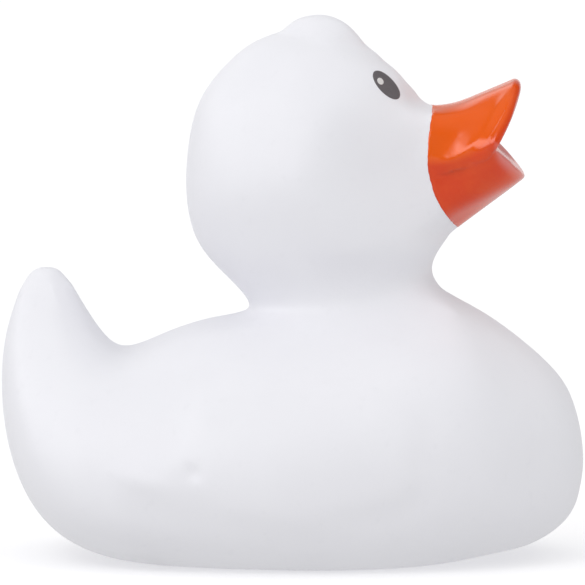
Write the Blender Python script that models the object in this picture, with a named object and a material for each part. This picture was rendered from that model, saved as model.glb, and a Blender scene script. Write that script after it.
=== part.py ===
"""Duck-shaped stress toy: one soft moulding with a painted bill and printed eyes.

The duck looks along +X, y = 0 is its middle plane and it sits on z = 0.
Sizes below are in millimetres and degrees, and the model is in metres.
A coarse skin of four-sided patches is laid over named sections, settled until the
smooth surface passes through them, and then subdivided.
"""

import math
from typing import NamedTuple

import bmesh
import bpy
from mathutils import Vector

MM = 0.001

# Length of the body from stern to breast, and its depth from the floor to the shoulders
BODY_LENGTH = 85.0
BODY_DEPTH = 38.0
# Length of the head from back to cheek, and its height without the tuft
HEAD_LENGTH = 36.0
HEAD_HEIGHT = 36.0
# Middle of the head from the nape, and the bill's root from the middle of the head
HEAD_FORWARD = 8.7
NECK_RISE = 20.1
BILL_FORWARD = 17.9

# Widths across the duck
BODY_WIDTH = 66.0
NECK_WIDTH = 27.0
HEAD_WIDTH = 36.4
TUFT_WIDTH = 13.0
BILL_ROOT_WIDTH = 20.8
BILL_LIP_WIDTH = 24.4

# Base
BASE_ROUNDING = 0.5

# Neck
NECK_SAG = 1.5

# Tuft
TUFT_HEIGHT = 2.4

# Edge of the bill's paint, a curve seen from the side: its rearmost place behind and above the
# middle of the bill's root, and how far it comes forward above and below that
PAINT_BACK = 0.7
PAINT_UP = 1.7
PAINT_TOP_RUN = 0.75
PAINT_TOP_RISE = 7.0
PAINT_CHIN_RUN = 4.4
PAINT_CHIN_DROP = 10.5

# Eyes, printed from the side as slanted ovals: places from the centre of the head, and sizes
EYE_FORWARD = 11.3
EYE_UP = 12.4
EYE_LENGTH = 5.5
EYE_HEIGHT = 2.15
EYE_SLANT = -48.0
GLINT_BACK = 0.8
GLINT_RISE = 0.6
GLINT_LENGTH = 1.0
GLINT_HEIGHT = 0.7

# Wings, in low relief on the flanks
WING_RELIEF = 0.6
WING_EDGE = 1.8

# Points this close to a paint edge, as a share of their own edge, are moved onto it
SNAP = 0.15
# How far past an eye's edge the finer mesh reaches, as a share of the eye
EYE_MARGIN = 1.0

# Angles of the points round a body section below its widest place, in degrees; those above it
# are set by each section's own spread, the angle of its second point from the middle of the back
LOWER_BODY_ANGLES = (88, 113, 136, 158, 180)
CAP_ANGLES = (0, 45, 90, 135, 180)
# Angles of the points round the neck and head, from the face to the back, in degrees
HEAD_ANGLES = (0, 25.7, 51.4, 77.1, 102.9, 128.6, 154.3, 180)

# How full the rounded sections are: 2 is an ellipse, more is squarer
BODY_FULLNESS = 2.0
BELLY_FULLNESS = 2.7
HEAD_FULLNESS = 2.1

SUBDIVISIONS = 2
SETTLING_ROUNDS = 8

# Order of the materials
WHITE, ORANGE, GREY, GLINT = range(4)


class Section(NamedTuple):
    """A slice between two points of the side outline."""

    start: tuple
    end: tuple
    width: float
    middle: float = 0.5
    spread: float = None
    sag: float = 0.0


def shifted(origin, forward, up):
    return origin[0] + forward, origin[1] + up


def body_point(forward, up):
    """A place from shares of the body's length before its middle and of its depth."""
    return forward * BODY_LENGTH, up * BODY_DEPTH


# Places of the main forms as (forward, up)
TAIL_TIP = body_point(-0.42, 1.11)
NAPE = body_point(-0.074, 0.971)
THROAT = body_point(0.239, 1.113)
BREAST_TIP = body_point(0.5, 0.395)
HEAD_CENTRE = shifted(NAPE, HEAD_FORWARD, NECK_RISE)
BILL_ROOT = shifted(HEAD_CENTRE, BILL_FORWARD, 0.0)


def tail_point(forward, up):
    return shifted(TAIL_TIP, forward, up)


def breast_point(forward, up):
    return shifted(BREAST_TIP, forward, up)


def head_point(forward, up):
    """A place from shares of the head's length and height from its middle."""
    return shifted(HEAD_CENTRE, forward * HEAD_LENGTH, up * HEAD_HEIGHT)


# Feathers of the wing, overlapping ovals seen from the side: middle, length, depth and slant
FEATHERS = (
    (body_point(0.024, 0.434), 35.0, 19.0, 0.0),
    (body_point(-0.071, 0.553), 20.0, 10.0, -12.0),
    (body_point(-0.182, 0.376), 18.5, 7.5, -3.0),
)

# Body sections from the tail to the breast: back point, belly point, share of the width
TAIL_CAP = Section(tail_point(1.8, -0.6), tail_point(-2.3, -0.7), 0.075 * BODY_WIDTH)
BODY_SECTIONS = (
    Section(tail_point(3.9, -3.3), tail_point(-4.3, -4.2), 0.17 * BODY_WIDTH, spread=45),
    Section(tail_point(7.3, -8.6), tail_point(-6.5, -12.2), 0.36 * BODY_WIDTH, spread=41),
    Section(body_point(-0.286, 0.8), body_point(-0.489, 0.442), 0.61 * BODY_WIDTH, spread=36),
    Section(body_point(-0.218, 0.853), body_point(-0.417, 0.122), 0.80 * BODY_WIDTH, 0.52, 31),
    Section(body_point(-0.151, 0.905), body_point(-0.266, -0.02), 0.93 * BODY_WIDTH, 0.54, 27),
    Section(body_point(-0.104, 0.926), body_point(-0.071, -0.068), BODY_WIDTH, 0.56, 23),
    Section(body_point(0.012, 0.953), body_point(0.071, -0.084), BODY_WIDTH, 0.57, 34),
    Section(body_point(0.148, 0.995), body_point(0.2, -0.055), 0.955 * BODY_WIDTH, 0.57, 34),
    Section(body_point(0.269, 1.011), body_point(0.325, 0.01), 0.85 * BODY_WIDTH, 0.56, 25),
    Section(body_point(0.348, 0.905), breast_point(-8.0, -13.1), 0.68 * BODY_WIDTH, 0.53, 33),
    Section(breast_point(-4.9, 12.8), breast_point(-2.4, -9.4), 0.42 * BODY_WIDTH, spread=43),
)
BREAST_CAP = Section(breast_point(-1.5, 7.8), breast_point(-0.6, -5.3), 0.22 * BODY_WIDTH)
# The sections that the neck's opening spans
NECK_OPENING = range(5, 9)
# Faces between the middle and the side of the openings of neck, bill and mouth
OPENING_COLUMNS = 2
INSIDE_OPENING = range(1 - OPENING_COLUMNS, OPENING_COLUMNS)
ACROSS_OPENING = range(-OPENING_COLUMNS, OPENING_COLUMNS + 1)

# Neck and head sections from the neck up: front point, back point, width
WAIST = Section(THROAT, NAPE, NECK_WIDTH, sag=NECK_SAG)
JOWL = Section(head_point(0.556, -0.297), head_point(-0.356, -0.425), 0.84 * HEAD_WIDTH, sag=0.6)
FACE_SECTIONS = (
    Section(head_point(0.6, -0.247), head_point(-0.453, -0.303), 0.935 * HEAD_WIDTH),
    Section(head_point(0.494, -0.039), head_point(-0.494, -0.153), HEAD_WIDTH),
    Section(head_point(0.483, 0.092), head_point(-0.495, 0.028), 0.985 * HEAD_WIDTH),
    Section(head_point(0.497, 0.242), head_point(-0.464, 0.208), 0.91 * HEAD_WIDTH),
)
BROW = Section(head_point(0.406, 0.331), head_point(-0.388, 0.351), 0.79 * HEAD_WIDTH)
CROWN = Section(head_point(0.32, 0.411), head_point(-0.252, 0.479), 0.56 * HEAD_WIDTH, sag=-0.5)
TUFT_FOOT = Section(head_point(0.233, 0.484), head_point(-0.119, 0.544), TUFT_WIDTH, sag=0.1)

# Crest of the tuft from the top of the head: forward, up, share of half the tuft's width
HEAD_TOP = head_point(0.0, 0.5)
TUFT_CREST = (
    ((5.0, 0.6 + TUFT_HEIGHT, 0.0), (4.8, 0.0 + TUFT_HEIGHT, 0.5)),
    ((-0.4, 1.7 + TUFT_HEIGHT, 0.0), (-0.4, 0.9 + TUFT_HEIGHT, 0.5)),
)

# Rings of the bill, from the middle of the chin up one side to the middle of the top:
# forward, up, share of half the width of the root or of the lip
BILL_ROOT_RING = (
    (3.9, -9.0, 0.0),
    (2.7, -8.0, 0.47),
    (1.1, -5.4, 0.83),
    (-0.15, -1.4, 1.0),
    (-0.7, 3.3, 1.0),
    (-0.55, 7.0, 0.81),
    (-0.35, 8.45, 0.43),
    (-0.35, 8.8, 0.0),
)
LIP_CREASE_RING = (
    (10.3, -4.1, 0.0),
    (9.9, -3.7, 0.39),
    (8.6, -2.5, 0.71),
    (6.6, 0.3, 0.88),
    (6.6, 3.9, 0.89),
    (8.8, 8.2, 0.73),
    (9.4, 11.05, 0.42),
    (9.5, 11.45, 0.0),
)
LIP_OUTER_RING = (
    (12.9, -2.1, 0.0),
    (12.5, -1.7, 0.38),
    (10.7, -0.4, 0.72),
    (8.9, 1.9, 0.93),
    (8.7, 4.5, 1.02),
    (10.7, 8.3, 0.85),
    (11.9, 11.8, 0.46),
    (12.1, 12.6, 0.0),
)
LIP_INNER_RING = (
    (13.0, -0.6, 0.0),
    (12.6, -0.1, 0.34),
    (10.8, 1.6, 0.64),
    (9.6, 2.9, 0.86),
    (9.6, 3.9, 0.95),
    (11.5, 7.5, 0.78),
    (12.7, 10.7, 0.43),
    (12.9, 11.4, 0.0),
)
# Inside of the mouth: the mouth line and the palate above it
MOUTH_ROWS = (
    ((9.0, 3.4, 0.0), (8.6, 3.1, 0.46)),
    ((10.6, 7.2, 0.0), (10.3, 6.6, 0.44)),
)


def point(forward, up, across=0.0):
    """A point given in millimetres, in metres."""
    return Vector((forward * MM, across * MM, up * MM))


def arc_share(angle, fullness):
    """How far along and across a rounded section an angle from its start lies."""
    along = math.cos(math.radians(angle))
    across = math.sin(math.radians(angle))
    power = 2.0 / fullness
    return math.copysign(abs(along) ** power, along), abs(across) ** power


def body_angles(spread):
    """Angles from the middle of the back to the middle of the belly."""
    widest = LOWER_BODY_ANGLES[0]
    return (0, spread / 2, spread, (spread + widest) / 2, *LOWER_BODY_ANGLES)


def slice_half(section, angles, first_fullness, last_fullness):
    """Points of a section on the duck's left, from its start to its end."""
    start = point(*section.start)
    end = point(*section.end)
    centre = start.lerp(end, section.middle)
    half = []
    for angle in angles:
        along, across = arc_share(angle, first_fullness if angle <= 90 else last_fullness)
        arm = start - centre if along >= 0 else centre - end
        place = centre + arm * along
        place.y = across * section.width * MM / 2
        place.z -= section.sag * MM * across**2
        half.append(place)
    return half


def both_sides(half):
    """Close a half ring by mirroring its inner points."""
    mirrored = [Vector((p.x, -p.y, p.z)) for p in reversed(half[1:-1])]
    return half + mirrored


def ring_on(origin, rows, width):
    """A half ring from rows of forward, up and share of half the width."""
    return [point(origin[0] + x, origin[1] + z, share * width / 2) for x, z, share in rows]


class Skin:
    """The coarse skin: points and four-sided faces."""

    def __init__(self):
        self.points = []
        self.faces = []

    def add(self, place):
        self.points.append(place)
        return len(self.points) - 1

    def add_ring(self, places, skip=()):
        """Add a ring of points; skip numbers places to leave out, from the first both ways."""
        left_out = {i % len(places) for i in skip}
        return [None if i in left_out else self.add(p) for i, p in enumerate(places)]

    def band(self, lower, upper):
        """Faces between two rings of equal length; those with a missing corner are left out."""
        count = len(lower)
        for i in range(count):
            j = (i + 1) % count
            corners = (lower[i], lower[j], upper[j], upper[i])
            if None not in corners:
                self.faces.append(corners)

    def cap(self, ring, inner_rows):
        """Close a ring with a grid whose first row is centred on the ring's first point."""
        side = OPENING_COLUMNS
        count = len(ring)
        rows = [ring[-side:] + ring[: side + 1]]
        for i, inner in enumerate(inner_rows, start=1):
            rows.append([ring[count - side - i], *inner, ring[side + i]])
        last = side + len(rows)
        rows.append(list(reversed(ring[last : last + 2 * side + 1])))
        for near, far in zip(rows, rows[1:]):
            for i in range(2 * side):
                self.faces.append((near[i], near[i + 1], far[i + 1], far[i]))

    def settle(self, rounds):
        """Move the points until the smooth surface passes close to where they began.

        A point where three or five faces meet has no place of its own to keep, and moves with
        its neighbours.
        """
        wanted = [p.copy() for p in self.points]
        beside, opposite = self.neighbours()
        for _ in range(rounds):
            moves = []
            for p, goal, edges, corners in zip(self.points, wanted, beside, opposite):
                moves.append(goal - self.smooth_place(p, edges, corners))
            for i, p in enumerate(self.points):
                if len(beside[i]) == 4:
                    p += moves[i]
                else:
                    p += self.mean(moves[j] for j in beside[i])

    def neighbours(self):
        """For each point, the points joined to it and those across a face from it."""
        beside = [set() for _ in self.points]
        opposite = [[] for _ in self.points]
        for corners in self.faces:
            for i, corner in enumerate(corners):
                beside[corner].add(corners[i - 1])
                beside[corner].add(corners[(i + 1) % 4])
                opposite[corner].append(corners[(i + 2) % 4])
        return [sorted(b) for b in beside], opposite

    def smooth_place(self, place, edges, corners):
        """Where a point comes to lie on the smooth surface."""
        count = len(edges)
        along = sum((self.points[j] for j in edges), Vector())
        across = sum((self.points[j] for j in corners), Vector())
        return (count**2 * place + 4 * along + across) / (count * (count + 5))

    @staticmethod
    def mean(vectors):
        vectors = list(vectors)
        return sum(vectors, Vector()) / len(vectors)


def mirrored_row(skin, origin, row, width):
    """A row of three points across the duck: the right, the middle and the left."""
    middle, left = row
    reach = left[2] * width / 2
    return [
        skin.add(point(origin[0] + left[0], origin[1] + left[1], -reach)),
        skin.add(point(origin[0] + middle[0], origin[1] + middle[1])),
        skin.add(point(origin[0] + left[0], origin[1] + left[1], reach)),
    ]


def rounded_cap(skin, ring, section, tip):
    """Close the end of the body over a small inner section and a tip."""
    inner = skin.add_ring(both_sides(slice_half(section, CAP_ANGLES, BODY_FULLNESS, BODY_FULLNESS)))
    end = skin.add(point(*tip))
    rows = (
        (inner[7], inner[0], inner[1]),
        (inner[6], end, inner[2]),
        (inner[5], inner[4], inner[3]),
    )
    skin.cap(ring, rows)


def add_body(skin):
    """The hull of the duck from tail to breast; returns the ring that the neck grows from."""
    rings = []
    for i, section in enumerate(BODY_SECTIONS):
        half = slice_half(section, body_angles(section.spread), BODY_FULLNESS, BELLY_FULLNESS)
        inside = NECK_OPENING[0] < i < NECK_OPENING[-1]
        rings.append(skin.add_ring(both_sides(half), skip=INSIDE_OPENING if inside else ()))
    for near, far in zip(rings, rings[1:]):
        skin.band(near, far)
    rounded_cap(skin, rings[0], TAIL_CAP, TAIL_TIP)
    rounded_cap(skin, rings[-1], BREAST_CAP, BREAST_TIP)
    back, rear, fore, front = (rings[i] for i in NECK_OPENING)
    left = [front[0], front[1], front[2], fore[2], rear[2], back[2], back[1], back[0]]
    right = [back[15], back[14], rear[14], fore[14], front[14], front[15]]
    return left + right


def add_head(skin, neck_root):
    """Neck and head up to the tuft; returns the ring that the bill grows from."""
    below = neck_root
    for section in (WAIST, JOWL):
        half = slice_half(section, HEAD_ANGLES, HEAD_FULLNESS, HEAD_FULLNESS)
        ring = skin.add_ring(both_sides(half))
        skin.band(below, ring)
        below = ring

    root = both_sides(ring_on(BILL_ROOT, BILL_ROOT_RING, BILL_ROOT_WIDTH))
    places = []
    for section in FACE_SECTIONS:
        half = slice_half(section, HEAD_ANGLES, HEAD_FULLNESS, HEAD_FULLNESS)
        places.append(both_sides(half))
    chin, lower, upper, top = places
    for k in ACROSS_OPENING:
        chin[k] = root[k]
        top[k] = root[len(root) // 2 - k]
    lower[2], lower[-2] = root[3], root[-3]
    upper[2], upper[-2] = root[4], root[-4]
    chin = skin.add_ring(chin)
    lower = skin.add_ring(lower, skip=INSIDE_OPENING)
    upper = skin.add_ring(upper, skip=INSIDE_OPENING)
    top = skin.add_ring(top)
    skin.band(below, chin)
    skin.band(chin, lower)
    skin.band(lower, upper)
    skin.band(upper, top)

    below = top
    for section in (BROW, CROWN, TUFT_FOOT):
        half = slice_half(section, HEAD_ANGLES, HEAD_FULLNESS, HEAD_FULLNESS)
        ring = skin.add_ring(both_sides(half))
        skin.band(below, ring)
        below = ring
    crest = [mirrored_row(skin, HEAD_TOP, row, TUFT_WIDTH) for row in TUFT_CREST]
    skin.cap(below, crest)
    left = [chin[0], chin[1], chin[2], lower[2], upper[2], top[2], top[1], top[0]]
    right = [top[13], top[12], upper[12], lower[12], chin[12], chin[13]]
    return left + right


def add_bill(skin, root):
    """The open bill: its outside, the lip and the mouth."""
    below = root
    for rows in (LIP_CREASE_RING, LIP_OUTER_RING, LIP_INNER_RING):
        ring = skin.add_ring(both_sides(ring_on(BILL_ROOT, rows, BILL_LIP_WIDTH)))
        skin.band(below, ring)
        below = ring
    mouth = [mirrored_row(skin, BILL_ROOT, row, BILL_LIP_WIDTH) for row in MOUTH_ROWS]
    skin.cap(below, mouth)


def plastic(name, colour, roughness):
    material = bpy.data.materials.new(name)
    material.use_nodes = True
    shader = material.node_tree.nodes["Principled BSDF"]
    shader.inputs["Base Color"].default_value = (*colour, 1.0)
    shader.inputs["Roughness"].default_value = roughness
    return material


def smooth_mesh(skin):
    """The settled skin, subdivided, as a plain mesh."""
    mesh = bpy.data.meshes.new("duck_skin")
    mesh.from_pydata(skin.points, [], skin.faces)
    holder = bpy.data.objects.new("duck_skin", mesh)
    bpy.context.scene.collection.objects.link(holder)
    rounding = holder.modifiers.new("Rounding", "SUBSURF")
    rounding.levels = SUBDIVISIONS
    rounding.render_levels = SUBDIVISIONS
    for material in duck_materials():
        mesh.materials.append(material)
    bpy.context.view_layer.update()
    smoothed = holder.evaluated_get(bpy.context.evaluated_depsgraph_get())
    result = bpy.data.meshes.new_from_object(smoothed)
    bpy.data.objects.remove(holder)
    bpy.data.meshes.remove(mesh)
    result.name = "duck"
    return result


def duck_materials():
    return (
        plastic("soft_white", (0.84, 0.85, 0.88), 0.6),
        plastic("bill_orange", (0.79, 0.10, 0.01), 0.3),
        plastic("eye_grey", (0.10, 0.09, 0.10), 0.4),
        plastic("eye_glint", (0.78, 0.78, 0.70), 0.4),
    )


def flatten_base(bm):
    """Press the belly flat on z = 0 with a small rounding at its edge."""
    soft = BASE_ROUNDING * MM
    for vert in bm.verts:
        height = vert.co.z
        if height < soft:
            vert.co.z = 0.0 if height <= -soft else (height + soft) ** 2 / (4 * soft)
    flat = [f for f in bm.faces if all(v.co.z == 0.0 for v in f.verts)]
    bmesh.ops.dissolve_faces(bm, faces=flat, use_verts=False)


def oval(middle, length, height, slant):
    """A field over the side view: below 1 inside a slanted oval."""
    turn = math.radians(slant)

    def share(place):
        ahead = place.x / MM - middle[0]
        above = place.z / MM - middle[1]
        along = ahead * math.cos(turn) + above * math.sin(turn)
        across = above * math.cos(turn) - ahead * math.sin(turn)
        return math.hypot(2 * along / length, 2 * across / height)

    return share


def raise_wings(bm):
    """Lift the flanks a little inside the feathers, with a soft step at their edge."""
    feathers = [(oval(*feather), feather[2] / 2) for feather in FEATHERS]
    lifts = []
    for vert in bm.verts:
        depth = max((1.0 - share(vert.co)) * half for share, half in feathers)
        inside = min(max(depth / WING_EDGE + 0.5, 0.0), 1.0)
        lifts.append(inside * inside * (3 - 2 * inside) * abs(vert.normal.y))
    for vert, lift in zip(bm.verts, lifts):
        vert.co += vert.normal * (lift * WING_RELIEF * MM)


def bill_paint(place):
    """A field that is above 0 where the bill is painted."""
    rise = place.z / MM - BILL_ROOT[1] - PAINT_UP
    if rise > 0:
        bow = PAINT_TOP_RUN * (rise / PAINT_TOP_RISE) ** 2
    else:
        bow = PAINT_CHIN_RUN * (rise / PAINT_CHIN_DROP) ** 2
    return place.x / MM - BILL_ROOT[0] + PAINT_BACK - bow


def print_eye(bm, middle, length, height, paint):
    """Print a slanted oval on both sides of the head, on a finer patch of the mesh."""
    share = oval(middle, length, height, EYE_SLANT)
    reached = [f for f in bm.faces if any(share(v.co) < EYE_MARGIN for v in f.verts)]
    edges = {edge for face in reached for edge in face.edges}
    bmesh.ops.subdivide_edges(bm, edges=list(edges), cuts=1, use_grid_fill=True)
    paint_area(bm, lambda place: 1.0 - share(place), paint)


def print_eyes(bm):
    middle = shifted(HEAD_CENTRE, EYE_FORWARD, EYE_UP)
    print_eye(bm, middle, EYE_LENGTH, EYE_HEIGHT, GREY)
    middle = shifted(middle, -GLINT_BACK, GLINT_RISE)
    print_eye(bm, middle, GLINT_LENGTH, GLINT_HEIGHT, GLINT)


def paint_area(bm, field, paint):
    """Cut the mesh where a field passes through 0 and paint the faces where it is above 0."""
    value = {vert: field(vert.co) for vert in bm.verts}
    on_edge = set()
    for edge in bm.edges:
        a, b = edge.verts
        if value[a] * value[b] < 0:
            share = value[a] / (value[a] - value[b])
            near, far, part = (a, b, share) if share < 0.5 else (b, a, 1 - share)
            if part < SNAP:
                near.co = near.co.lerp(far.co, part)
                value[near] = 0.0
                on_edge.add(near)
    for edge in list(bm.edges):
        a, b = edge.verts
        if value[a] * value[b] < 0:
            share = value[a] / (value[a] - value[b])
            _, made = bmesh.utils.edge_split(edge, a, share)
            value[made] = 0.0
            on_edge.add(made)
    bmesh.ops.connect_verts(bm, verts=list(on_edge))
    for face in bm.faces:
        total = sum(value[vert] for vert in face.verts)
        if total > 0 and all(value[vert] >= 0 for vert in face.verts):
            face.material_index = paint


def main():
    for old in list(bpy.data.objects):
        bpy.data.objects.remove(old)
    skin = Skin()
    neck_root = add_body(skin)
    bill_root = add_head(skin, neck_root)
    add_bill(skin, bill_root)
    skin.settle(SETTLING_ROUNDS)
    mesh = smooth_mesh(skin)
    bm = bmesh.new()
    bm.from_mesh(mesh)
    bmesh.ops.recalc_face_normals(bm, faces=bm.faces)
    bm.normal_update()
    raise_wings(bm)
    flatten_base(bm)
    paint_area(bm, bill_paint, ORANGE)
    print_eyes(bm)
    bm.to_mesh(mesh)
    bm.free()
    mesh.shade_smooth()
    duck = bpy.data.objects.new("duck", mesh)
    bpy.context.scene.collection.objects.link(duck)


if __name__ == "__main__":
    main()
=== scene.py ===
"""Finish of a duck-shaped stress toy: soft white skin, glossy orange bill and printed eyes.

The duck looks along +X, y = 0 is its middle plane and it sits on z = 0, in metres.
"""

import math

import bmesh
import bpy
import numpy as np
from bpy.props import FloatProperty, FloatVectorProperty, IntProperty, PointerProperty
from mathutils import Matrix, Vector, noise


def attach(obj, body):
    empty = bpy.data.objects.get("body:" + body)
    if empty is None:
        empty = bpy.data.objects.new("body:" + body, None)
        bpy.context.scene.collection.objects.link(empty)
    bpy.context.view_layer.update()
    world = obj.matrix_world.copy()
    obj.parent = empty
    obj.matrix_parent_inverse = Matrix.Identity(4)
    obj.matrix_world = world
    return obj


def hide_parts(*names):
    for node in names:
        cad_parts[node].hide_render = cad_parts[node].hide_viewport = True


bl_info = {
    "name": "Duck Stress Toy",
    "version": (1, 0, 0),
    "blender": (4, 5, 0),
    "location": "View3D > Sidebar > Duck",
    "description": "Dresses the moulded duck with skin, bill paint and eyes, and sets its stage",
    "category": "Object",
}

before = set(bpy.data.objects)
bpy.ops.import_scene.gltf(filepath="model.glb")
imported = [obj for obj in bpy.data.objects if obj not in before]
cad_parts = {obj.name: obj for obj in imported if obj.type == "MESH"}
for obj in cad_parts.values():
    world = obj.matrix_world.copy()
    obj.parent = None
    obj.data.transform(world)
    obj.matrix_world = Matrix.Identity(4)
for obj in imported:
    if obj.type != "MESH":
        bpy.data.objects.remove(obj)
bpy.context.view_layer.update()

MM = 0.001
WHITE = (1.0, 1.0, 1.0)
# Points nearer than this, in metres, are one point
TOLERANCE = 1e-6
# Two triangles that bend by less than this where they meet are joined into one face
JOIN_ANGLE = math.radians(40)

# Middle of the head and of the bill's root as (forward, up), in millimetres
HEAD_CENTRE = (2.4, 57.0)
BILL_ROOT = (20.3, 57.0)

# Light touches to the outline: forward and up, reach, and lift, in millimetres
TOUCHES = (
    (-5.0, 75.6, 4.0, 0.2),
    (-1.7, 76.7, 1.2, -0.25),
    (2.2, 78.9, 2.0, -0.26),
    (18.8, 66.9, 1.4, 0.62),
    (17.9, 67.8, 1.2, 0.3),
    (16.0, 70.0, 1.5, -0.35),
    (12.2, 73.4, 1.6, 0.28),
    (23.7, 66.6, 3.6, -0.33),
    (40.5, 24.6, 4.0, -0.2),
)
# Small forms on the wing, as ovals seen from the side: middle forward and up, length, height, slant
# in degrees, and lift, in millimetres
WING_FORMS = (
    (-13.2, 24.6, 4.2, 6.0, 25.0, 0.45),
    (-27.5, 22.5, 15.0, 5.0, -24.0, 0.3),
    (-21.3, 13.4, 7.0, 3.2, -14.0, 0.4),
    (-14.4, 15.2, 1.9, 2.6, 30.0, -0.55),
    (18.6, 15.8, 4.4, 15.0, -8.0, -0.3),
    (11.5, 9.0, 15.0, 3.6, 14.0, -0.22),
)

# Ridge along the side of the upper bill and the foot of the lip below it, as (forward, up) in
# millimetres, from the front
LIP_RIDGE = (
    (31.6, 69.2),
    (30.9, 67.2),
    (29.9, 65.2),
    (28.5, 62.9),
    (26.8, 61.0),
    (24.7, 59.4),
    (22.5, 58.4),
    (20.0, 57.8),
)
LIP_FOOT = ((30.0, 61.3), (29.1, 59.9), (28.5, 59.1), (27.1, 58.3), (25.6, 57.8))
# The bill's side is formed forward of this place, in millimetres, and its forms fade in between these
# shares of a normal that points sideways
SIDE_START = BILL_ROOT[0] - 1.5
SIDEWAYS = (0.2, 0.6)
# Bands that are smoothed before and after the ridge is raised: where each fades in from its inner and
# its outer end, in reaches of the flare, below 0 inside the ridge
BAND_BEFORE = ((-2.5, -1.5), (0.8 / 1.5, -0.2 / 1.5))
BAND_AFTER = ((-3.0, -2.0), (-0.1, -0.5))
# The first band has this many times the second one's rounds of smoothing
ROUNDS_RATIO = 4
# Reach of the flare at the ridge's front, as a share of that at its rear
FLARE_FRONT = 0.2
# Where the ridge rises at its front and runs out behind, in shares of its length
RIDGE_RISES = (0.0, 0.15)
RIDGE_RUNS_OUT = (1.0, 0.8)
# The lip's foot grows wider towards the head, between these places in millimetres, by this many times
# its width
FOOT_SPREADS = (27.5, 25.5)
FOOT_SPREAD = 6.0

# Circle that the ridge follows, as the middle (forward, up) and radius in millimetres, and the band in
# which painted shade fades in outside it: darker, redder paint where the lip and lower bill face down
RIDGE_CIRCLE = (20.6, 70.0, 11.3)
PAINTED_SHADE_BAND = (-0.5, 1.2)
# Rim of the lower bill in the side view: forward and up of its rear end in millimetres, and its fall
LOWER_RIM = (29.8, 60.0, 1.03)
# Where the painted reflection fades in below the lower rim and out above it, and where it starts along it,
# in millimetres
REFLECTION_BELOW = (-2.6, 0.2)
REFLECTION_ABOVE = (0.8, 1.4)
REFLECTION_ALONG = (-1.0, 0.6)
# Skin that is left round the bill's paint before it is cut to shape, in millimetres
SPARE = 3.0
# Waves of the paint's ragged edge: length in millimetres, and share
EDGE_WAVES = ((0.9, 1.0), (0.35, 0.5))

# Points along each side of a print's grid, and how far out its rays start, in metres
PRINT_POINTS = 29
PRINT_REACH = 0.06
# Ink: mean roughness, lengths of its dither and of its uneven patches and depth of its relief in
# millimetres, and brightness of its darker dots as a share
INK_ROUGHNESS = 0.34
INK_DITHER = 0.22
INK_PATCHES = 1.4
INK_RELIEF = 0.01
INK_DARKER = 0.82

# Side from which the studio lights the duck
LIT_SIDE = (-0.5, -0.6, 0.5)
# Long window on the left that gloss mirrors: where its edges fade, as shares of a unit direction, how
# much it drops towards the left, and how much dimmer it is past its end
WINDOW_SIDE = (0.04, 0.26)
WINDOW_SILL = (0.3, 0.42)
WINDOW_HEAD = (0.7, 0.78)
WINDOW_END = (0.3, 0.55)
WINDOW_DROP = 0.25
WINDOW_DIM = 0.75
# Soft light that gloss mirrors from beyond the duck, from above it and from ahead of it: where it
# fades in, and how bright it is
GLOW_BEYOND = ((0.72, 1.0), 1.3)
GLOW_ABOVE = ((0.6, 0.95), 0.4)
GLOW_AHEAD = ((0.3, 0.9), 0.25)
# Heights between which the light from beyond grows dimmer, and by how much
BEYOND_DIMS = ((-0.1, 0.25), 0.85)

# Floor: half its side in metres, its colour and glow for the camera, and its colour for other light
FLOOR_REACH = 8.0
FLOOR_COLOUR = (0.80, 0.80, 0.81)
FLOOR_GLOW = 0.26
FLOOR_DULL = (0.15, 0.15, 0.15)
# Softbox: width, height, place and the point it is turned to, in metres
SOFTBOX_SIZE = (0.36, 0.24)
SOFTBOX_PLACE = (-0.30, -0.42, 0.52)
SOFTBOX_TARGET = (0.0, 0.0, 0.04)
# Farthest distance that the camera sees, in metres
VIEW_END = 100.0


def colour_property(name, description, default):
    return FloatVectorProperty(
        name=name, description=description, subtype="COLOR", size=3, min=0, max=1, default=default
    )


def length_property(name, description, default):
    """A length whose default is given in millimetres."""
    return FloatProperty(
        name=name, description=description, unit="LENGTH", precision=5, default=default * MM
    )


def angle_property(name, description, default):
    """An angle whose default is given in degrees."""
    return FloatProperty(
        name=name, description=description, subtype="ANGLE", default=math.radians(default)
    )


def light_property(name, description, default):
    return FloatProperty(name=name, description=description, min=0, default=default)


def share_property(name, description, default):
    return FloatProperty(
        name=name, description=description, subtype="FACTOR", min=0, max=1, default=default
    )


class SkinSettings(bpy.types.PropertyGroup):
    """The moulded skin."""

    fineness: IntProperty(
        name="Fineness", description="Rounds of smoothing of the moulding's facets", min=0, max=2, default=2
    )
    colour: colour_property("Colour", "Body colour of the skin", (0.842, 0.842, 0.884))
    tint: colour_property("Tint", "Faint cloudy tint in the skin", (0.830, 0.829, 0.872))
    speck_colour: colour_property("Speck colour", "Colour of the faint specks", (0.70, 0.70, 0.74))
    roughness: share_property("Roughness", "Mean roughness", 0.52)
    grain: length_property("Grain", "Size of the skin's fine texture", 0.45)
    pores: length_property("Pores", "Distance between pores", 1.3)
    relief: length_property("Relief", "Depth of the fine texture", 0.05)
    clouds: length_property("Clouds", "Size of the skin's cloudy patches", 14.0)
    specks: length_property("Specks", "Size of the faint specks", 1.6)
    rubbed: length_property("Rubbed", "Size of the patches that are rubbed smoother", 9.0)


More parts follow.
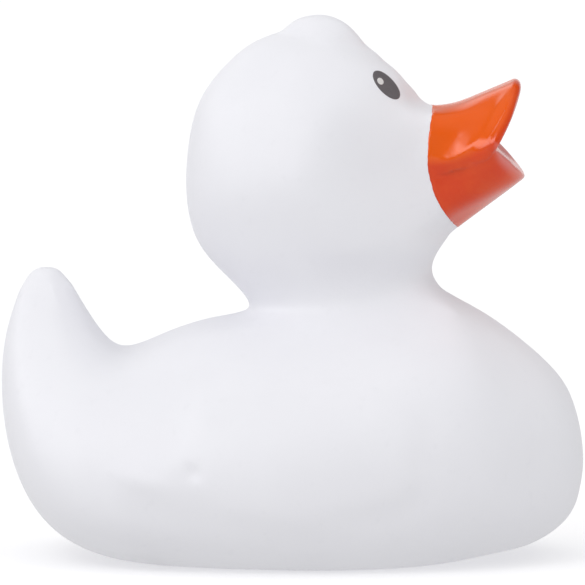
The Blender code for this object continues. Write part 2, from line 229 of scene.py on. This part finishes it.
class BillSettings(bpy.types.PropertyGroup):
    """The bill's lip and its paint."""

    colour: colour_property("Colour", "Colour of the paint on the upper bill", (0.83, 0.105, 0.001))
    # Painted shade: a darker, redder copy of the bill paint for the lip and lower bill, which face down
    painted_shade_colour: colour_property("Deep colour", "Colour on the lip and the lower bill", (0.69, 0.047, 0.002))
    thin_colour: colour_property("Thin colour", "Colour where the paint is thin", (0.86, 0.14, 0.012))
    # Painted reflection: this colour and its share paint the lower rim pale pink, for the bright
    # surroundings it mirrors at a grazing angle
    painted_reflection_colour: colour_property("Rim colour", "Colour where the lower rim is worn", (0.74, 0.33, 0.33))
    painted_reflection: share_property("Wear", "How far the rim turns to its worn colour", 0.55)
    roughness: share_property("Roughness", "Mean roughness", 0.2)
    patches: length_property("Patches", "Size of the patches of thin paint", 5.0)
    streaks: length_property("Streaks", "Size of the streaks of thin paint", 1.1)
    haze: length_property("Haze", "Size of the duller patches", 2.2)
    peel: length_property("Peel", "Size of the paint's fine dimples", 0.9)
    relief: length_property("Relief", "Depth of the paint's fine dimples", 0.04)
    film: length_property("Film", "How far the paint stands above the skin", 0.04)
    back: length_property("Back", "Rearmost place of the paint behind the bill's root", 0.7)
    up: length_property("Up", "Height of that place above the middle of the bill's root", 1.7)
    top_run: length_property("Top run", "How far the edge comes forward at the top", 0.75)
    top_rise: length_property("Top rise", "Height of the top above the rearmost place", 7.0)
    chin_run: length_property("Chin run", "How far the edge comes forward under the chin", 4.4)
    chin_drop: length_property("Chin drop", "Depth of the chin below the rearmost place", 10.5)
    ragged: length_property("Ragged", "How far the paint's edge wanders", 0.12)
    ridge_front: length_property("Ridge in front", "Height of the ridge at the lip's front", 0.2)
    ridge_rear: length_property("Ridge behind", "Height of the ridge where it runs out", 1.0)
    flare: length_property("Flare", "Reach of the flare inside the ridge", 3.4)
    lip: length_property("Lip", "Width of the lip outside the ridge", 3.5)
    foot: length_property("Foot", "Width of the step at the foot of the lip", 0.3)
    softening: IntProperty(
        name="Softening", description="Rounds of smoothing of the bill's side", min=0, default=120
    )


class EyeSettings(bpy.types.PropertyGroup):
    """The printed eyes."""

    colour: colour_property("Colour", "Colour of the eye", (0.143, 0.129, 0.138))
    glint_colour: colour_property("Glint colour", "Colour of the glint", (0.75, 0.735, 0.73))
    forward: length_property("Forward", "Eye in front of the middle of the head", 11.23)
    up: length_property("Up", "Eye above the middle of the head", 12.4)
    length: length_property("Length", "Long side of the eye", 5.27)
    height: length_property("Height", "Short side of the eye", 2.1)
    slant: angle_property("Slant", "Turn of the eye's long side", -46)
    glint_back: length_property("Glint back", "Glint behind the middle of the eye", 0.9)
    glint_up: length_property("Glint up", "Glint above the middle of the eye", 0.6)
    glint_length: length_property("Glint length", "Long side of the glint", 1.07)
    glint_height: length_property("Glint height", "Short side of the glint", 0.72)
    film: length_property("Film", "How far the print stands above the skin", 0.03)


class StageSettings(bpy.types.PropertyGroup):
    """Floor, lights and camera."""

    view_width: length_property("View width", "Width that the camera sees at the duck", 85.3)
    view_height: length_property("View height", "Height of the view's middle", 38.43)
    elevation: angle_property("Elevation", "Camera above the horizon", 5)
    lens: FloatProperty(
        name="Lens", description="Focal length in millimetres", unit="CAMERA", min=1, default=1000.0
    )
    key: light_property("Key", "Power of the softbox at the upper left", 0.4)
    sky: light_property("Sky", "Brightness of the studio overhead", 0.95)
    horizon: light_property("Horizon", "Brightness of the studio at eye level", 0.80)
    lean: light_property("Lean", "How much brighter the studio is on the lit side", 0.2)
    bounce: light_property("Bounce", "Brightness of the floor as the duck sees it", 0.62)
    window: light_property("Window", "Brightness of the window that gloss mirrors", 4.6)


class DuckSettings(bpy.types.PropertyGroup):
    """All settings of the duck."""

    skin: PointerProperty(type=SkinSettings)
    bill: PointerProperty(type=BillSettings)
    eyes: PointerProperty(type=EyeSettings)
    stage: PointerProperty(type=StageSettings)


class Wire:
    """A socket that arithmetic turns into Math nodes."""

    def __init__(self, nodes, socket):
        self.nodes = nodes
        self.socket = socket

    def _math(self, operation, *values):
        return self.nodes.node("ShaderNodeMath", dict(enumerate(values)), operation=operation)

    def __add__(self, other):
        return self._math("ADD", self, other)

    def __sub__(self, other):
        return self._math("SUBTRACT", self, other)

    def __rsub__(self, other):
        return self._math("SUBTRACT", other, self)

    def __mul__(self, other):
        return self._math("MULTIPLY", self, other)

    def __neg__(self):
        return self._math("MULTIPLY", self, -1.0)

    def root(self):
        return self._math("SQRT", self)

    def ramp(self, low, high):
        """0 at low and 1 at high, with soft ends."""
        values = {"Value": self, 1: low, 2: high}
        return self.nodes.node("ShaderNodeMapRange", values, interpolation_type="SMOOTHSTEP")


class Nodes:
    """Makes the nodes of one tree."""

    def __init__(self, tree):
        self.tree = tree

    def node(self, kind, values=None, output=0, **settings):
        """Add a node, set its settings, then give its sockets their values or links."""
        made = self.tree.nodes.new(kind)
        for name, value in settings.items():
            setattr(made, name, value)
        for key, value in (values or {}).items():
            socket = made.inputs[key]
            if isinstance(value, Wire):
                self.tree.links.new(value.socket, socket)
            elif socket.type == "RGBA":
                socket.default_value = (*value, 1.0)
            else:
                socket.default_value = value
        return Wire(self, made.outputs[output]) if made.outputs else None

    def other(self, wire, output):
        """Another output of the node that a wire comes from."""
        return Wire(self, wire.socket.node.outputs[output])

    def noise(self, place, size, detail=2.0, roughness=0.5):
        values = {"Vector": place, "Scale": 1.0 / size, "Detail": detail, "Roughness": roughness}
        return self.node("ShaderNodeTexNoise", values)

    def mix(self, factor, first, second):
        """A colour between two others."""
        return self.node("ShaderNodeMix", {0: factor, 6: first, 7: second}, output=2, data_type="RGBA")

    def place(self):
        """Where a point is on its object."""
        return self.node("ShaderNodeTexCoord", output=3)

    def split(self, vector):
        first = self.node("ShaderNodeSeparateXYZ", {0: vector})
        return first, self.other(first, 1), self.other(first, 2)

    def relief(self, height, depth, strength):
        """A normal that follows a fine relief."""
        return self.node("ShaderNodeBump", {"Strength": strength, "Distance": depth, "Height": height})


def new_material(name):
    """An empty material and the maker of its nodes."""
    material = bpy.data.materials.new(name)
    material.use_nodes = True
    material.node_tree.nodes.clear()
    return material, Nodes(material.node_tree)


def finish_surface(nodes, shader):
    nodes.node("ShaderNodeOutputMaterial", {"Surface": shader})


def skin_material(look):
    """Soft white foam skin: cloudy, finely grained and satin."""
    material, n = new_material("soft_white_skin")
    place = n.place()
    clouds = n.noise(place, look.clouds, detail=3.0).ramp(0.35, 0.65)
    specks = n.noise(place, look.specks, detail=1.0).ramp(0.62, 0.82)
    colour = n.mix(clouds, look.colour, look.tint)
    colour = n.mix(specks * 0.10, colour, look.speck_colour)
    rubbed = n.noise(place, look.rubbed, detail=4.0)
    grain = n.noise(place, look.grain, detail=3.0, roughness=0.6)
    cells = n.node("ShaderNodeTexVoronoi", {"Vector": place, "Scale": 1.0 / look.pores}, feature="F1")
    height = grain * 0.7 + cells.ramp(0.0, 0.35) * 0.3
    values = {
        "Base Color": colour,
        "Roughness": rubbed * 0.16 + (look.roughness - 0.08),
        "Specular IOR Level": 0.4,
        "Sheen Weight": 0.12,
        "Sheen Roughness": 0.5,
        "Normal": n.relief(height, look.relief, 0.28),
    }
    finish_surface(n, n.node("ShaderNodeBsdfPrincipled", values))
    return material


def bill_material(look):
    """Glossy orange paint, thin in places, with painted shade (darker and redder) outside the ridge where
    the lip and lower bill face down, and a painted pale reflection along the lower rim.
    """
    material, n = new_material("bill_orange_paint")
    place = n.place()
    forward, _, up = n.split(place)

    middle, height, radius = (value * MM for value in RIDGE_CIRCLE)
    ahead = forward - middle
    above = up - height
    outside = (ahead * ahead + above * above).root() - radius
    # Painted shade: outside the ridge circle the paint turns darker and redder, where the lip and lower bill
    # face down
    shaded = outside.ramp(*(value * MM for value in PAINTED_SHADE_BAND))
    paint = n.mix(shaded, look.colour, look.painted_shade_colour)

    # Painted reflection: the lower rim turns pale pink, for the bright surroundings mirrored there at a
    # grazing angle
    rear, level, fall = LOWER_RIM
    along = forward - rear * MM
    rim = up - level * MM + along * fall
    reflecting = rim.ramp(*(value * MM for value in REFLECTION_BELOW))
    reflecting = reflecting * (1.0 - rim.ramp(*(value * MM for value in REFLECTION_ABOVE)))
    reflecting = reflecting * along.ramp(*(value * MM for value in REFLECTION_ALONG))
    paint = n.mix(reflecting * look.painted_reflection, paint, look.painted_reflection_colour)

    patches = n.noise(place, look.patches, detail=3.0).ramp(0.35, 0.75)
    streaks = n.noise(place, look.streaks, detail=4.0, roughness=0.6).ramp(0.4, 0.8)
    values = {
        "Base Color": n.mix(patches * 0.18 + streaks * 0.08, paint, look.thin_colour),
        "Roughness": n.noise(place, look.haze, detail=3.0) * 0.14 + (look.roughness - 0.07),
        "Specular IOR Level": 0.45,
        "Normal": n.relief(n.noise(place, look.peel), look.relief, 0.25),
    }
    finish_surface(n, n.node("ShaderNodeBsdfPrincipled", values))
    return material


def print_material(name, colour):
    """Printed ink with a fine dither."""
    material, n = new_material(name)
    place = n.place()
    dither = n.noise(place, INK_DITHER * MM).ramp(0.3, 0.7)
    uneven = n.noise(place, INK_PATCHES * MM)
    darker = tuple(INK_DARKER * c for c in colour)
    values = {
        "Base Color": n.mix(dither * 0.6, colour, darker),
        "Roughness": uneven * 0.16 + (INK_ROUGHNESS - 0.08),
        "Normal": n.relief(dither, INK_RELIEF * MM, 0.2),
    }
    finish_surface(n, n.node("ShaderNodeBsdfPrincipled", values))
    return material


def linked(name, data):
    """A new object of the scene."""
    thing = bpy.data.objects.new(name, data)
    bpy.context.scene.collection.objects.link(thing)
    return thing


def as_mesh(bm, name):
    """A mesh from a bmesh, which is freed."""
    mesh = bpy.data.meshes.new(name)
    bm.to_mesh(mesh)
    bm.free()
    return mesh


def mesh_object(name, mesh, material):
    """A piece at the origin with one material."""
    piece = linked(name, mesh)
    mesh.materials.clear()
    mesh.materials.append(material)
    mesh.shade_smooth()
    return piece


def evaluated_mesh(holder, name):
    """What an object's modifiers make of it, as a plain mesh; the object is removed."""
    bpy.context.view_layer.update()
    whole = holder.evaluated_get(bpy.context.evaluated_depsgraph_get())
    mesh = bpy.data.meshes.new_from_object(whole)
    old = holder.data
    bpy.data.objects.remove(holder)
    bpy.data.meshes.remove(old)
    mesh.name = name
    return mesh


def moulding(node, fineness):
    """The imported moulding's facets, joined up and smoothed."""
    bm = bmesh.new()
    bm.from_mesh(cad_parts[node].data)
    bmesh.ops.remove_doubles(bm, verts=bm.verts, dist=TOLERANCE)
    bmesh.ops.join_triangles(
        bm, faces=bm.faces, angle_face_threshold=JOIN_ANGLE, angle_shape_threshold=JOIN_ANGLE
    )
    holder = linked(node, as_mesh(bm, node))
    smoothing = holder.modifiers.new("Smoothing", "SUBSURF")
    smoothing.levels = fineness
    smoothing.render_levels = fineness
    return evaluated_mesh(holder, node)


def points_of(mesh):
    places = np.empty(len(mesh.vertices) * 3)
    mesh.vertices.foreach_get("co", places)
    return places.reshape(-1, 3)


def normals_of(mesh):
    normals = np.empty(len(mesh.vertices) * 3)
    mesh.vertex_normals.foreach_get("vector", normals)
    return normals.reshape(-1, 3)


def set_points(mesh, places):
    mesh.vertices.foreach_set("co", places.ravel())
    mesh.update()


def fade(values, start, full):
    """0 at start and 1 at full, with soft ends."""
    inside = np.clip((values - start) / (full - start), 0.0, 1.0)
    return inside * inside * (3 - 2 * inside)


def along_curve(points, steps=8):
    """Points of a smooth curve through a few given in millimetres, by Catmull-Rom."""
    points = [np.array(point) * MM for point in points]
    ends = [2 * points[0] - points[1], *points, 2 * points[-1] - points[-2]]
    curve = []
    for a, b, c, d in zip(ends, ends[1:], ends[2:], ends[3:]):
        slope = c - a
        bow = 2 * a - 5 * b + 4 * c - d
        twist = 3 * b - a - 3 * c + d
        for i in range(steps):
            t = i / steps
            curve.append(b + (slope * t + bow * t**2 + twist * t**3) / 2)
    curve.append(points[-1])
    return np.array(curve)


def from_curve(places, curve):
    """Signed distance in the side view from a curve, and the share of its length there."""
    flat = places[:, (0, 2)]
    best = np.full(len(flat), np.inf)
    signed = np.zeros(len(flat))
    share = np.zeros(len(flat))
    count = len(curve) - 1
    for i, (start, end) in enumerate(zip(curve, curve[1:])):
        run = end - start
        t = np.clip((flat - start) @ run / (run @ run), 0.0, 1.0)
        arm = flat - (start + t[:, None] * run)
        gap = np.hypot(*arm.T)
        side = np.sign(run[0] * arm[:, 1] - run[1] * arm[:, 0])
        nearer = gap < best
        best = np.where(nearer, gap, best)
        signed = np.where(nearer, gap * side, signed)
        share = np.where(nearer, (i + t) / count, share)
    return signed, share


def touch_up(mesh):
    """Lift or lower the skin a little near places of the outline."""
    places = points_of(mesh)
    normals = normals_of(mesh)
    lift = np.zeros(len(places))
    for forward, up, reach, height in TOUCHES:
        gap = np.hypot(places[:, 0] - forward * MM, places[:, 2] - up * MM) / (reach * MM)
        across = places[:, 1] / (2 * reach * MM)
        lift += height * MM * np.exp(-(gap**2) - across**2)
    set_points(mesh, places + normals * (lift * (1.0 - normals[:, 1] ** 2))[:, None])


def form_wing(mesh):
    """Raise or press the small forms of the wing on both flanks."""
    places = points_of(mesh)
    normals = normals_of(mesh)
    lift = np.zeros(len(places))
    for forward, up, length, height, slant, rise in WING_FORMS:
        turn = math.radians(slant)
        ahead = places[:, 0] - forward * MM
        above = places[:, 2] - up * MM
        along = (ahead * math.cos(turn) + above * math.sin(turn)) / (length / 2 * MM)
        across = (above * math.cos(turn) - ahead * math.sin(turn)) / (height / 2 * MM)
        lift += rise * MM * np.exp(-(along**2) - across**2)
    set_points(mesh, places + normals * (lift * np.abs(normals[:, 1]))[:, None])


def relaxed(mesh, places, weight, rounds):
    """Points drawn halfway to the mean of their neighbours, each by its own weight."""
    ends = np.empty(len(mesh.edges) * 2, int)
    mesh.edges.foreach_get("vertices", ends)
    first, second = ends.reshape(-1, 2).T
    every = len(places)
    count = np.bincount(ends, minlength=every)
    for _ in range(rounds):
        mean = np.empty_like(places)
        for i, value in enumerate(places.T):
            total = np.bincount(first, value[second], every) + np.bincount(second, value[first], every)
            mean[:, i] = total / count
        places = places + 0.5 * weight[:, None] * (mean - places)
    return places


def form_lip(mesh, look):
    """Flare the upper bill outwards to a ridge, with the rolled lip turning away beyond it."""
    places = points_of(mesh)
    distance, share = from_curve(places, along_curve(LIP_RIDGE))
    reach = distance / look.flare
    sideways = fade(np.abs(normals_of(mesh)[:, 1]), *SIDEWAYS) * (places[:, 0] > SIDE_START * MM)
    before, after = (fade(reach, *rear) * fade(reach, *front) for rear, front in (BAND_BEFORE, BAND_AFTER))
    places = relaxed(mesh, places, before * sideways, look.softening)
    set_points(mesh, places)

    near = np.clip(1.0 + reach / (FLARE_FRONT + (1.0 - FLARE_FRONT) * share), 0.0, 1.0)
    inside = near**2 * (2.0 - near)
    below, _ = from_curve(places, along_curve(LIP_FOOT))
    spread = 1.0 + FOOT_SPREAD * fade(places[:, 0], *(value * MM for value in FOOT_SPREADS))
    outside = np.clip(1.0 - distance / look.lip, 0.0, 1.0) * fade(below / (look.foot * spread), 0.5, -0.5)
    height = look.ridge_front + (look.ridge_rear - look.ridge_front) * share
    height = height * fade(share, *RIDGE_RISES) * fade(share, *RIDGE_RUNS_OUT)
    lift = np.where(distance < 0, inside, outside) * height * sideways
    places = places + normals_of(mesh) * lift[:, None]
    set_points(mesh, relaxed(mesh, places, after * sideways, look.softening // ROUNDS_RATIO))


def rest_on_floor(mesh):
    places = points_of(mesh)
    places[:, 2] = np.maximum(places[:, 2], 0.0)
    set_points(mesh, places)


def paint_field(place, look):
    """Above 0 where the bill is painted."""
    rise = place.z - BILL_ROOT[1] * MM - look.up
    if rise > 0:
        bow = look.top_run * (rise / look.top_rise) ** 2
    else:
        bow = look.chin_run * (rise / look.chin_drop) ** 2
    wander = sum(share * noise.noise(place / (length * MM)) for length, share in EDGE_WAVES)
    return place.x - BILL_ROOT[0] * MM + look.back - bow + look.ragged * wander


def cut_along(bm, field, snap=0.2):
    """Cut a mesh where a field passes through 0 and keep the side where it is above 0.

    A corner that is nearer to the cut than a share of its edge is moved onto it.
    """
    value = {vert: field(vert.co) for vert in bm.verts}
    on_edge = set()
    for edge in bm.edges:
        a, b = edge.verts
        if value[a] * value[b] < 0:
            share = value[a] / (value[a] - value[b])
            near, far, part = (a, b, share) if share < 0.5 else (b, a, 1 - share)
            if part < snap:
                near.co = near.co.lerp(far.co, part)
                value[near] = 0.0
                on_edge.add(near)
    for edge in list(bm.edges):
        a, b = edge.verts
        if value[a] * value[b] < 0:
            _, made = bmesh.utils.edge_split(edge, a, value[a] / (value[a] - value[b]))
            value[made] = 0.0
            on_edge.add(made)
    bmesh.ops.connect_verts(bm, verts=list(on_edge))
    outside = []
    for face in bm.faces:
        corners = [value[vert] for vert in face.verts]
        if min(corners) < 0 or max(corners) <= 0:
            outside.append(face)
    bmesh.ops.delete(bm, geom=outside, context="FACES")


def bill_film(skin, look):
    """The bill's paint as a thin closed film that follows the skin."""
    bm = bmesh.new()
    bm.from_mesh(skin)
    behind = (BILL_ROOT[0] - SPARE) * MM
    low = (BILL_ROOT[1] - SPARE) * MM - look.chin_drop
    away = [v for v in bm.verts if v.co.x < behind or v.co.z < low]
    bmesh.ops.delete(bm, geom=away, context="VERTS")
    bm.normal_update()
    cut_along(bm, lambda place: paint_field(place, look))
    holder = linked("bill_paint", as_mesh(bm, "bill_paint"))
    thickness = holder.modifiers.new("Thickness", "SOLIDIFY")
    thickness.thickness = 2 * look.film
    thickness.offset = 0.0
    thickness.use_even_offset = False
    return evaluated_mesh(holder, "bill_paint")


def print_tree():
    """Geometry nodes that lay an oval print on the side of a skin, as a thin closed film."""
    tree = bpy.data.node_groups.new("Print on skin", "GeometryNodeTree")
    kinds = {"Skin": "NodeSocketObject", "Material": "NodeSocketMaterial"}
    for name in ("Forward", "Up", "Length", "Height", "Slant", "Side", "Film"):
        kinds[name] = "NodeSocketFloat"
    face = tree.interface
    face.new_socket("Geometry", in_out="OUTPUT", socket_type="NodeSocketGeometry")
    sockets = {}
    for name, kind in kinds.items():
        sockets[name] = face.new_socket(name, in_out="INPUT", socket_type=kind).identifier
    n = Nodes(tree)
    given = n.node("NodeGroupInput")
    value = {name: n.other(given, name) for name in kinds}

    size = {"Size X": 2.0, "Size Y": 2.0, "Vertices X": PRINT_POINTS, "Vertices Y": PRINT_POINTS}
    grid = n.node("GeometryNodeMeshGrid", size)
    across, along, _ = n.split(n.node("GeometryNodeInputPosition"))
    round_x = across * (1.0 - along * along * 0.5).root() * value["Length"] * 0.5
    round_z = along * (1.0 - across * across * 0.5).root() * value["Height"] * 0.5
    oval = n.node("ShaderNodeCombineXYZ", {0: round_x, 2: round_z})
    turn = {"Vector": oval, "Angle": -value["Slant"]}
    x, _, z = n.split(n.node("ShaderNodeVectorRotate", turn, rotation_type="Y_AXIS"))
    start = {0: x + value["Forward"], 1: value["Side"] * PRINT_REACH, 2: z + value["Up"]}
    skin = n.node("GeometryNodeObjectInfo", {"Object": value["Skin"]}, transform_space="RELATIVE")
    aim = {
        "Target Geometry": n.other(skin, "Geometry"),
        "Source Position": n.node("ShaderNodeCombineXYZ", start),
        "Ray Direction": n.node("ShaderNodeCombineXYZ", {1: -value["Side"]}),
        "Ray Length": PRINT_REACH,
    }
    hit = n.node("GeometryNodeRaycast", aim)
    film = {0: n.other(hit, "Hit Normal"), "Scale": value["Film"]}
    outwards = n.node("ShaderNodeVectorMath", film, operation="SCALE")
    level = {0: n.other(hit, "Hit Position"), 1: outwards}
    sunk = n.node("ShaderNodeVectorMath", level, operation="SUBTRACT")
    lower = n.node("GeometryNodeSetPosition", {"Geometry": grid, "Position": sunk})
    lift = {0: n.node("GeometryNodeInputNormal"), "Scale": value["Film"] * -value["Side"]}
    raised = n.node("ShaderNodeVectorMath", lift, operation="SCALE")
    thick = {"Mesh": lower, "Offset": raised, "Offset Scale": 2.0, "Individual": False}
    upper = n.node("GeometryNodeExtrudeMesh", thick, mode="FACES")
    under = n.node("GeometryNodeFlipFaces", {"Mesh": lower})
    both = n.node("GeometryNodeJoinGeometry")
    for half in (upper, under):
        tree.links.new(half.socket, both.socket.node.inputs[0])
    closed = n.node("GeometryNodeMergeByDistance", {"Geometry": both, "Distance": TOLERANCE})
    solid = n.node("GeometryNodeRealizeInstances", {"Geometry": closed})
    painted = n.node("GeometryNodeSetMaterial", {"Geometry": solid, "Material": value["Material"]})
    n.node("NodeGroupOutput", {0: painted})
    return tree, sockets


def lay_print(name, tree, sockets, values):
    """A printed oval on the skin, from the tree and the values of its inputs."""
    holder = linked(name, bpy.data.meshes.new(name))
    laying = holder.modifiers.new("Print", "NODES")
    laying.node_group = tree
    for key, value in values.items():
        laying[sockets[key]] = value
    mesh = evaluated_mesh(holder, name)
    bm = bmesh.new()
    bm.from_mesh(mesh)
    bmesh.ops.recalc_face_normals(bm, faces=bm.faces)
    bm.to_mesh(mesh)
    bm.free()
    return mesh_object(name, mesh, values["Material"])


class DUCK_OT_skin(bpy.types.Operator):
    """Make the duck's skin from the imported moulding"""

    bl_idname = "duck.skin"
    bl_label = "Skin"

    def execute(self, context):
        look = context.scene.duck
        mesh = moulding("duck", look.skin.fineness)
        touch_up(mesh)
        form_wing(mesh)
        form_lip(mesh, look.bill)
        rest_on_floor(mesh)
        skin = mesh_object("duck_skin", mesh, skin_material(look.skin))
        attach(skin, "root")
        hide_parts("duck")
        return {"FINISHED"}


class DUCK_OT_bill(bpy.types.Operator):
    """Paint the bill with a thin film that follows the skin"""

    bl_idname = "duck.bill"
    bl_label = "Bill paint"

    def execute(self, context):
        look = context.scene.duck
        mesh = bill_film(bpy.data.objects["duck_skin"].data, look.bill)
        film = mesh_object("bill_paint", mesh, bill_material(look.bill))
        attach(film, "root")
        return {"FINISHED"}


class DUCK_OT_eyes(bpy.types.Operator):
    """Print an eye with its glint on each side of the head"""

    bl_idname = "duck.eyes"
    bl_label = "Eyes"

    def execute(self, context):
        look = context.scene.duck.eyes
        tree, sockets = print_tree()
        forward = HEAD_CENTRE[0] * MM + look.forward
        up = HEAD_CENTRE[1] * MM + look.up
        common = {"Skin": bpy.data.objects["duck_skin"], "Slant": look.slant}
        eye = {
            "Material": print_material("eye_grey_print", look.colour),
            "Forward": forward,
            "Up": up,
            "Length": look.length,
            "Height": look.height,
            "Film": look.film,
        }
        glint = {
            "Material": print_material("eye_glint_print", look.glint_colour),
            "Forward": forward - look.glint_back,
            "Up": up + look.glint_up,
            "Length": look.glint_length,
            "Height": look.glint_height,
            "Film": 2 * look.film,
        }
        for side, word in ((-1.0, "right"), (1.0, "left")):
            for name, sizes, slot in (("eye", eye, "eye_paint"), ("glint", glint, "eye_glint")):
                piece = lay_print(f"{name}_{word}", tree, sockets, {**common, **sizes, "Side": side})
                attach(piece, "root")
        return {"FINISHED"}


def aim(thing, target):
    """Turn a light or camera towards a point."""
    thing.rotation_euler = (Vector(target) - thing.location).to_track_quat("-Z", "Y").to_euler()


def studio_world(stage):
    """White for the camera, even and brighter on the lit side for the duck, a window for gloss."""
    world = bpy.data.worlds.new("studio")
    world.use_nodes = True
    world.node_tree.nodes.clear()
    n = Nodes(world.node_tree)
    direction = n.node("ShaderNodeTexCoord")
    ahead, beyond, up = n.split(direction)

    levels = {"Value": up, 1: 0.0, 2: 1.0, 3: stage.horizon, 4: stage.sky}
    side = tuple(Vector(LIT_SIDE).normalized() * stage.lean)
    lean = n.node("ShaderNodeVectorMath", {0: direction, 1: side}, output=1, operation="DOT_PRODUCT")
    even = n.node("ShaderNodeMapRange", levels) + lean

    rise = up - ahead * WINDOW_DROP
    window = (-ahead).ramp(*WINDOW_SIDE) * rise.ramp(*WINDOW_SILL) * (1.0 - rise.ramp(*WINDOW_HEAD))
    window = window * (1.0 - beyond.ramp(*WINDOW_END) * WINDOW_DIM)
    edges, bright = GLOW_BEYOND
    heights, dim = BEYOND_DIMS
    mirrored = window * stage.window + beyond.ramp(*edges) * (bright - up.ramp(*heights) * dim)
    for way, (edges, bright) in ((up, GLOW_ABOVE), (ahead, GLOW_AHEAD)):
        mirrored = mirrored + way.ramp(*edges) * bright

    lit, gloss, seen = (
        n.node("ShaderNodeBackground", {"Color": WHITE, "Strength": strength})
        for strength in (even, mirrored, 1.0)
    )
    ray = n.node("ShaderNodeLightPath")
    mixed = n.node("ShaderNodeMixShader", {0: n.other(ray, "Is Glossy Ray"), 1: lit, 2: gloss})
    mixed = n.node("ShaderNodeMixShader", {0: ray, 1: mixed, 2: seen})
    n.node("ShaderNodeOutputWorld", {"Surface": mixed})
    bpy.context.scene.world = world


def floor_material(bounce):
    """Pale matte floor that the camera sees as white outside the duck's shadow."""
    material, n = new_material("pale_floor")
    ways = []
    for colour, glow in ((FLOOR_DULL, bounce), (FLOOR_COLOUR, FLOOR_GLOW)):
        matte = n.node("ShaderNodeBsdfDiffuse", {"Color": colour})
        glowing = n.node("ShaderNodeEmission", {"Color": WHITE, "Strength": glow})
        ways.append(n.node("ShaderNodeAddShader", {0: matte, 1: glowing}))
    camera_ray = n.node("ShaderNodeLightPath")
    finish_surface(n, n.node("ShaderNodeMixShader", {0: camera_ray, 1: ways[0], 2: ways[1]}))
    return material


class DUCK_OT_stage(bpy.types.Operator):
    """Set the floor, the studio light and the camera"""

    bl_idname = "duck.stage"
    bl_label = "Stage"

    def execute(self, context):
        scene = context.scene
        stage = scene.duck.stage
        scene.view_settings.view_transform = "Standard"
        studio_world(stage)

        bm = bmesh.new()
        bmesh.ops.create_grid(bm, x_segments=1, y_segments=1, size=FLOOR_REACH)
        floor = mesh_object("floor", as_mesh(bm, "floor"), floor_material(stage.bounce))

        softbox = bpy.data.lights.new("softbox", "AREA")
        softbox.shape = "RECTANGLE"
        softbox.size, softbox.size_y = SOFTBOX_SIZE
        softbox.energy = stage.key
        lamp = linked("softbox", softbox)
        lamp.location = SOFTBOX_PLACE
        aim(lamp, SOFTBOX_TARGET)

        lens = bpy.data.cameras.new("camera")
        lens.lens = stage.lens
        lens.clip_end = VIEW_END
        camera = linked("camera", lens)
        away = stage.view_width * stage.lens / lens.sensor_width
        back = Vector((0.0, -math.cos(stage.elevation), math.sin(stage.elevation)))
        middle = Vector((0.0, 0.0, stage.view_height))
        camera.location = middle + back * away
        aim(camera, middle)
        scene.camera = camera
        return {"FINISHED"}


class DUCK_PT_panel(bpy.types.Panel):
    """Lists the steps that dress the duck."""

    bl_idname = "DUCK_PT_panel"
    bl_label = "Duck stress toy"
    bl_space_type = "VIEW_3D"
    bl_region_type = "UI"
    bl_category = "Duck"

    def draw(self, context):
        look = context.scene.duck
        parts = ((DUCK_OT_skin, look.skin), (DUCK_OT_bill, look.bill), (DUCK_OT_eyes, look.eyes))
        for step, settings in (*parts, (DUCK_OT_stage, look.stage)):
            box = self.layout.box()
            box.operator(step.bl_idname)
            for name in settings.__annotations__:
                box.prop(settings, name)


CLASSES = (
    SkinSettings,
    BillSettings,
    EyeSettings,
    StageSettings,
    DuckSettings,
    DUCK_OT_skin,
    DUCK_OT_bill,
    DUCK_OT_eyes,
    DUCK_OT_stage,
    DUCK_PT_panel,
)


def register():
    for each in CLASSES:
        bpy.utils.register_class(each)
    bpy.types.Scene.duck = PointerProperty(type=DuckSettings)


def unregister():
    del bpy.types.Scene.duck
    for each in reversed(CLASSES):
        bpy.utils.unregister_class(each)


def main():
    register()
    bpy.ops.duck.skin()
    bpy.ops.duck.bill()
    bpy.ops.duck.eyes()
    bpy.ops.duck.stage()


if __name__ == "__main__":
    main()
